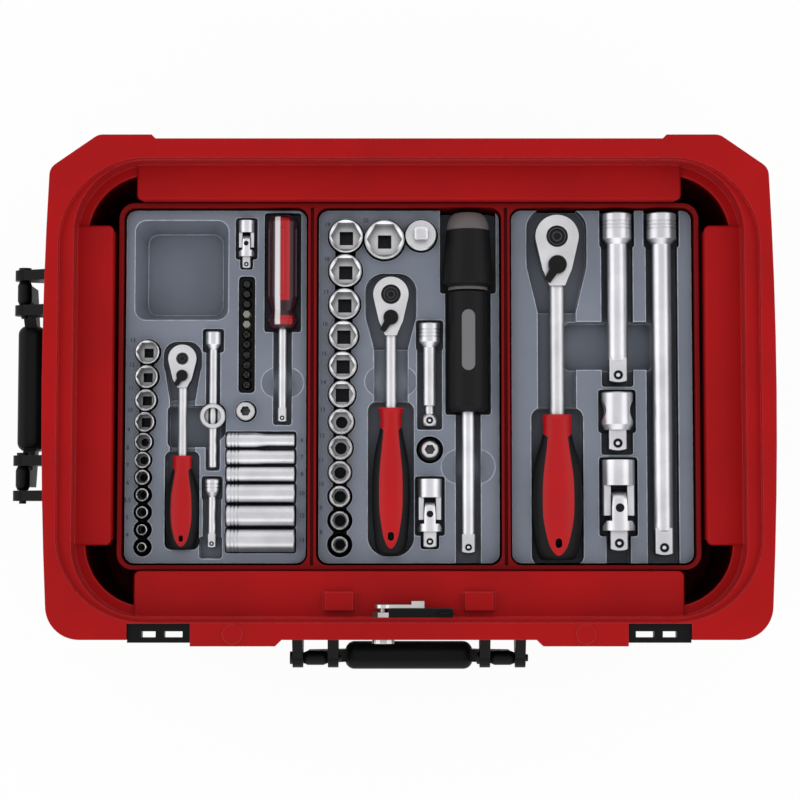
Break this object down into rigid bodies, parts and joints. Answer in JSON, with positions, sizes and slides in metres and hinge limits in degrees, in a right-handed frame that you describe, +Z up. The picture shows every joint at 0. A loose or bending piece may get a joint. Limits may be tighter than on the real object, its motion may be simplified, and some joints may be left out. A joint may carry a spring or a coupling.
{
  "type": "socket wrench set in case",
  "caption": "Open carrying case with a lift-out carrier of formed trays that hold ratchets, sockets, extensions, universal joints and bits.",
  "frame": {"origin": "middle of the case's base, on the floor", "axes": "+Z up, -Y towards the front edge with the lock, +X to the right"},
  "size_m": [0.5512, 0.3842, 0.1808],
  "materials": {
    "red_case": "fine moulded grain",
    "red_carrier": "fine moulded grain",
    "black_plastic": "satin",
    "grey_tray": "satin formed sheet",
    "chrome_steel": "satin chrome",
    "nickel": "polished",
    "black_steel": "blackened",
    "bit_steel": "phosphated",
    "grip_black": "soft touch",
    "grip_red": "satin",
    "tinted_plastic": "tinted clear",
    "grey_trim": "satin"
  },
  "bodies": {
    "case": {"case_body": "red_case", "handle_brackets": "black_plastic", "handle_pins": "black_steel", "latch_keepers": "black_plastic", "lock_barrel": "nickel", "lock_cover": "black_plastic"},
    "front_handle": {"front_handle": "black_plastic"},
    "side_handle": {"side_handle": "black_plastic"},
    "lock_cam": {"lock_cam": "nickel"},
    "carrier": {"tool_carrier": "red_carrier"},
    "quarter_tray": {"tray_quarter": "grey_tray", "bit_holder": "black_plastic"},
    "quarter_ratchet": {"quarter_ratchet_body": "chrome_steel", "quarter_ratchet_grip": "grip_black", "quarter_ratchet_inlay": "grip_red"},
    "quarter_ratchet_gear": {"quarter_ratchet_gear": "black_steel"},
    "quarter_ratchet_lever": {"quarter_ratchet_lever": "black_steel"},
    "quarter_ratchet_pawl": {"quarter_ratchet_pawl": "black_steel"},
    "quarter_joint": {"quarter_joint_socket_yoke": "chrome_steel"},
    "quarter_joint_cross": {"quarter_joint_cross": "black_steel"},
    "quarter_joint_drive": {"quarter_joint_drive_yoke": "chrome_steel"},
    "three_eighths_tray": {"tray_three_eighths": "grey_tray"},
    "three_eighths_ratchet": {"three_eighths_ratchet_body": "chrome_steel", "three_eighths_ratchet_grip": "grip_black", "three_eighths_ratchet_inlay": "grip_red"},
    "three_eighths_ratchet_gear": {"three_eighths_ratchet_gear": "black_steel"},
    "three_eighths_ratchet_lever": {"three_eighths_ratchet_lever": "black_steel"},
    "three_eighths_ratchet_pawl": {"three_eighths_ratchet_pawl": "black_steel"},
    "three_eighths_joint": {"three_eighths_joint_socket_yoke": "chrome_steel"},
    "three_eighths_joint_cross": {"three_eighths_joint_cross": "black_steel"},
    "three_eighths_joint_drive": {"three_eighths_joint_drive_yoke": "chrome_steel"},
    "half_tray": {"tray_half": "grey_tray"},
    "half_ratchet": {"half_ratchet_body": "chrome_steel", "half_ratchet_grip": "grip_black", "half_ratchet_inlay": "grip_red"},
    "half_ratchet_gear": {"half_ratchet_gear": "black_steel"},
    "half_ratchet_lever": {"half_ratchet_lever": "black_steel"},
    "half_ratchet_pawl": {"half_ratchet_pawl": "black_steel"},
    "half_joint": {"half_joint_socket_yoke": "chrome_steel"},
    "half_joint_cross": {"half_joint_cross": "black_steel"},
    "half_joint_drive": {"half_joint_drive_yoke": "chrome_steel"},
    "quarter_sockets": {"quarter_sockets": "chrome_steel"},
    "quarter_deep_sockets": {"quarter_deep_sockets": "chrome_steel"},
    "spinner": {"spinner_handle": "tinted_plastic", "spinner_shaft": "chrome_steel"},
    "tee_bar": {"tee_bar": "chrome_steel"},
    "tee_slider": {"tee_slider": "chrome_steel"},
    "bits": {"bits": "bit_steel"},
    "quarter_extension": {"quarter_extension": "chrome_steel"},
    "three_eighths_sockets": {"three_eighths_sockets": "chrome_steel", "step_adaptor": "chrome_steel", "bit_coupler": "chrome_steel"},
    "wobble_extension": {"wobble_extension": "chrome_steel"},
    "drive_handle": {"drive_handle_grip": "grip_black", "drive_handle_shaft": "chrome_steel"},
    "palm_cap": {"drive_handle_cap": "grip_black", "drive_handle_trim": "grey_trim"},
    "half_short_extension": {"half_short_extension": "chrome_steel"},
    "half_long_extension": {"half_long_extension": "chrome_steel"},
    "half_tee_head": {"half_tee_head": "chrome_steel"}
  },
  "joints": [
    {"name": "front_handle_swing", "type": "hinge", "parent": "case", "child": "front_handle", "pos_m": [0, -0.1899, 0.138], "axis": [-1, 0, 0], "range_deg": [0, 90]},
    {"name": "side_handle_swing", "type": "hinge", "parent": "case", "child": "side_handle", "pos_m": [-0.2807, 0.0073, 0.138], "axis": [0, 1, 0], "range_deg": [0, 90]},
    {"name": "lock_turn", "type": "hinge", "parent": "case", "child": "lock_cam", "pos_m": [-0.0183, -0.1596, 0.1674], "axis": [0, -1, 0], "range_deg": [0, 90]},
    {"name": "carrier_lift", "type": "slide", "parent": "case", "child": "carrier", "axis": [0, 0, 1], "range_m": [0, 0.16]},
    {"name": "quarter_tray_lift", "type": "slide", "parent": "carrier", "child": "quarter_tray", "axis": [0, 0, 1], "range_m": [0, 0.12]},
    {"name": "quarter_ratchet_lift", "type": "slide", "parent": "quarter_tray", "child": "quarter_ratchet", "axis": [0, 0, 1], "range_m": [0, 0.08]},
    {"name": "quarter_ratchet_gear_turn", "type": "hinge", "parent": "quarter_ratchet", "child": "quarter_ratchet_gear", "pos_m": [-0.1645, 0.02645, 0.141], "axis": [0, 0, 1], "continuous": true},
    {"name": "quarter_ratchet_lever_throw", "type": "hinge", "parent": "quarter_ratchet", "child": "quarter_ratchet_lever", "pos_m": [-0.1645, 0.01405, 0.141], "axis": [0, 0, 1], "range_deg": [0, 64]},
    {"name": "quarter_ratchet_pawl_rock", "type": "hinge", "parent": "quarter_ratchet", "child": "quarter_ratchet_pawl", "pos_m": [-0.1645, 0.01405, 0.141], "axis": [0, 0, 1], "range_deg": [0, 8]},
    {"name": "quarter_joint_lift", "type": "slide", "parent": "quarter_tray", "child": "quarter_joint", "axis": [0, 0, 1], "range_m": [0, 0.08]},
    {"name": "quarter_joint_tilt", "type": "hinge", "parent": "quarter_joint", "child": "quarter_joint_cross", "pos_m": [-0.1185, 0.11075, 0.141], "axis": [-1, 0, 0], "range_deg": [0, 40]},
    {"name": "quarter_joint_swing", "type": "hinge", "parent": "quarter_joint_cross", "child": "quarter_joint_drive", "pos_m": [-0.1185, 0.11075, 0.141], "axis": [0, 0, 1], "range_deg": [-4, 4]},
    {"name": "three_eighths_tray_lift", "type": "slide", "parent": "carrier", "child": "three_eighths_tray", "axis": [0, 0, 1], "range_m": [0, 0.12]},
    {"name": "three_eighths_ratchet_lift", "type": "slide", "parent": "three_eighths_tray", "child": "three_eighths_ratchet", "axis": [0, 0, 1], "range_m": [0, 0.08]},
    {"name": "three_eighths_ratchet_gear_turn", "type": "hinge", "parent": "three_eighths_ratchet", "child": "three_eighths_ratchet_gear", "pos_m": [-0.0131, 0.07325, 0.141], "axis": [0, 0, 1], "continuous": true},
    {"name": "three_eighths_ratchet_lever_throw", "type": "hinge", "parent": "three_eighths_ratchet", "child": "three_eighths_ratchet_lever", "pos_m": [-0.0131, 0.05625, 0.141], "axis": [0, 0, 1], "range_deg": [0, 64]},
    {"name": "three_eighths_ratchet_pawl_rock", "type": "hinge", "parent": "three_eighths_ratchet", "child": "three_eighths_ratchet_pawl", "pos_m": [-0.0131, 0.05625, 0.141], "axis": [0, 0, 1], "range_deg": [0, 8]},
    {"name": "three_eighths_joint_lift", "type": "slide", "parent": "three_eighths_tray", "child": "three_eighths_joint", "axis": [0, 0, 1], "range_m": [0, 0.08]},
    {"name": "three_eighths_joint_tilt", "type": "hinge", "parent": "three_eighths_joint", "child": "three_eighths_joint_cross", "pos_m": [0.0151, -0.08625, 0.141], "axis": [-1, 0, 0], "range_deg": [0, 40]},
    {"name": "three_eighths_joint_swing", "type": "hinge", "parent": "three_eighths_joint_cross", "child": "three_eighths_joint_drive", "pos_m": [0.0151, -0.08625, 0.141], "axis": [0, 0, 1], "range_deg": [-4, 4]},
    {"name": "half_tray_lift", "type": "slide", "parent": "carrier", "child": "half_tray", "axis": [0, 0, 1], "range_m": [0, 0.12]},
    {"name": "half_ratchet_lift", "type": "slide", "parent": "half_tray", "child": "half_ratchet", "axis": [0, 0, 1], "range_m": [0, 0.08]},
    {"name": "half_ratchet_gear_turn", "type": "hinge", "parent": "half_ratchet", "child": "half_ratchet_gear", "pos_m": [0.1077, 0.11545, 0.141], "axis": [0, 0, 1], "continuous": true},
    {"name": "half_ratchet_lever_throw", "type": "hinge", "parent": "half_ratchet", "child": "half_ratchet_lever", "pos_m": [0.1077, 0.09445, 0.141], "axis": [0, 0, 1], "range_deg": [0, 64]},
    {"name": "half_ratchet_pawl_rock", "type": "hinge", "parent": "half_ratchet", "child": "half_ratchet_pawl", "pos_m": [0.1077, 0.09445, 0.141], "axis": [0, 0, 1], "range_deg": [0, 8]},
    {"name": "half_joint_lift", "type": "slide", "parent": "half_tray", "child": "half_joint", "axis": [0, 0, 1], "range_m": [0, 0.08]},
    {"name": "half_joint_tilt", "type": "hinge", "parent": "half_joint", "child": "half_joint_cross", "pos_m": [0.1518, -0.08175, 0.141], "axis": [-1, 0, 0], "range_deg": [0, 40]},
    {"name": "half_joint_swing", "type": "hinge", "parent": "half_joint_cross", "child": "half_joint_drive", "pos_m": [0.1518, -0.08175, 0.141], "axis": [0, 0, 1], "range_deg": [-4, 4]},
    {"name": "quarter_sockets_lift", "type": "slide", "parent": "quarter_tray", "child": "quarter_sockets", "axis": [0, 0, 1], "range_m": [0, 0.08]},
    {"name": "quarter_deep_sockets_lift", "type": "slide", "parent": "quarter_tray", "child": "quarter_deep_sockets", "axis": [0, 0, 1], "range_m": [0, 0.08]},
    {"name": "spinner_lift", "type": "slide", "parent": "quarter_tray", "child": "spinner", "axis": [0, 0, 1], "range_m": [0, 0.08]},
    {"name": "tee_bar_lift", "type": "slide", "parent": "quarter_tray", "child": "tee_bar", "axis": [0, 0, 1], "range_m": [0, 0.08]},
    {"name": "tee_slider_slide", "type": "slide", "parent": "tee_bar", "child": "tee_slider", "axis": [0, -1, 0], "range_m": [0, 0.008]},
    {"name": "bits_lift", "type": "slide", "parent": "quarter_tray", "child": "bits", "axis": [0, 0, 1], "range_m": [0, 0.08]},
    {"name": "quarter_extension_lift", "type": "slide", "parent": "quarter_tray", "child": "quarter_extension", "axis": [0, 0, 1], "range_m": [0, 0.08]},
    {"name": "three_eighths_sockets_lift", "type": "slide", "parent": "three_eighths_tray", "child": "three_eighths_sockets", "axis": [0, 0, 1], "range_m": [0, 0.08]},
    {"name": "wobble_extension_lift", "type": "slide", "parent": "three_eighths_tray", "child": "wobble_extension", "axis": [0, 0, 1], "range_m": [0, 0.08]},
    {"name": "drive_handle_lift", "type": "slide", "parent": "three_eighths_tray", "child": "drive_handle", "axis": [0, 0, 1], "range_m": [0, 0.08]},
    {"name": "palm_cap_turn", "type": "hinge", "parent": "drive_handle", "child": "palm_cap", "pos_m": [0.043, 0.13315, 0.141], "axis": [0, 1, 0], "continuous": true},
    {"name": "half_short_extension_lift", "type": "slide", "parent": "half_tray", "child": "half_short_extension", "axis": [0, 0, 1], "range_m": [0, 0.08]},
    {"name": "half_long_extension_lift", "type": "slide", "parent": "half_tray", "child": "half_long_extension", "axis": [0, 0, 1], "range_m": [0, 0.08]},
    {"name": "half_tee_head_lift", "type": "slide", "parent": "half_tray", "child": "half_tee_head", "axis": [0, 0, 1], "range_m": [0, 0.08]}
  ],
  "couplings": [
    {"joint": "quarter_ratchet_pawl_rock", "follows": "quarter_ratchet_lever_throw", "ratio": 0.125},
    {"joint": "three_eighths_ratchet_pawl_rock", "follows": "three_eighths_ratchet_lever_throw", "ratio": 0.125},
    {"joint": "half_ratchet_pawl_rock", "follows": "half_ratchet_lever_throw", "ratio": 0.125}
  ]
}
